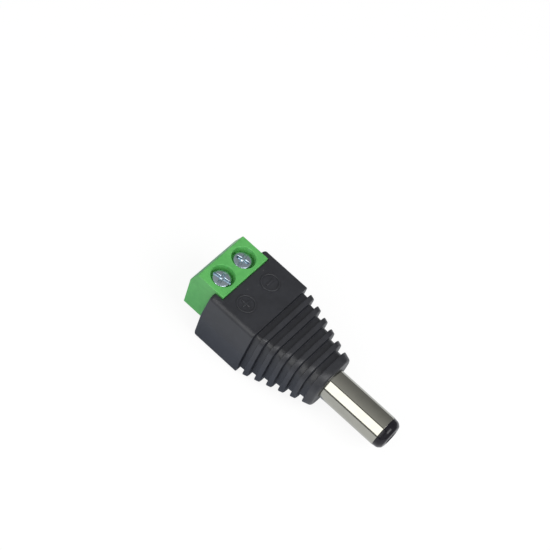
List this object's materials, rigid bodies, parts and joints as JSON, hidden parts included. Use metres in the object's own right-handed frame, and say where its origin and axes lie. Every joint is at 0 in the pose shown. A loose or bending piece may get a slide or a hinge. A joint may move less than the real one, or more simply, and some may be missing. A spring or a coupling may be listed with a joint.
{
  "type": "dc barrel plug",
  "caption": "Straight barrel power plug: a coaxial metal barrel on a ribbed black moulded body with a green two-way screw terminal block for bare wires at its back.",
  "frame": {"origin": "centre of the nose's flat end, where the barrel comes out, on the barrel's axis", "axes": "+X along the barrel to its tip, +Z the side with the clamp screws, +Y the negative pole"},
  "size_m": [0.0392, 0.0142, 0.0122],
  "materials": {
    "black_moulding": "satin soft PVC",
    "green_moulding": "satin nylon",
    "bright_nickel": "bright nickel plate on brass",
    "black_tip": "gloss moulded insulator",
    "contact_plating": "nickel plate on spring brass",
    "pale_insulator": "matt insulating bush",
    "tinned_brass": "tin plate on brass",
    "tinned_copper": "tinned copper wire",
    "solder": "bright solder",
    "zinc_steel": "bright zinc plate on steel",
    "cage_plating": "nickel plate on brass"
  },
  "bodies": {
    "plug_body": {"housing": "black_moulding", "terminal_body": "green_moulding", "barrel_sleeve": "bright_nickel", "tip_insulator": "black_tip", "centre_contact": "contact_plating", "rear_bush": "pale_insulator", "sleeve_tag": "tinned_brass", "contact_bar_plus": "tinned_brass", "link_wire_plus": "tinned_copper", "pin_solder_plus": "solder", "tag_solder_plus": "solder", "contact_bar_minus": "tinned_brass", "link_wire_minus": "tinned_copper", "pin_solder_minus": "solder", "tag_solder_minus": "solder"},
    "screw_plus": {"clamp_screw_plus": "zinc_steel"},
    "cage_plus": {"clamp_cage_plus": "cage_plating"},
    "screw_minus": {"clamp_screw_minus": "zinc_steel"},
    "cage_minus": {"clamp_cage_minus": "cage_plating"}
  },
  "joints": [
    {"name": "screw_turn_plus", "type": "hinge", "parent": "plug_body", "child": "screw_plus", "pos_m": [-0.0229, -0.00254, 0], "axis": [0, 0, 1], "range_deg": [-1440, 0]},
    {"name": "cage_rise_plus", "type": "slide", "parent": "plug_body", "child": "cage_plus", "axis": [0, 0, 1], "range_m": [0, 0.0018]},
    {"name": "screw_turn_minus", "type": "hinge", "parent": "plug_body", "child": "screw_minus", "pos_m": [-0.0229, 0.00254, 0], "axis": [0, 0, 1], "range_deg": [-1440, 0]},
    {"name": "cage_rise_minus", "type": "slide", "parent": "plug_body", "child": "cage_minus", "axis": [0, 0, 1], "range_m": [0, 0.0018]}
  ],
  "couplings": [
    {"joint": "screw_turn_plus", "follows": "cage_rise_plus", "rad_per_m": -13963},
    {"joint": "screw_turn_minus", "follows": "cage_rise_minus", "rad_per_m": -13963}
  ]
}
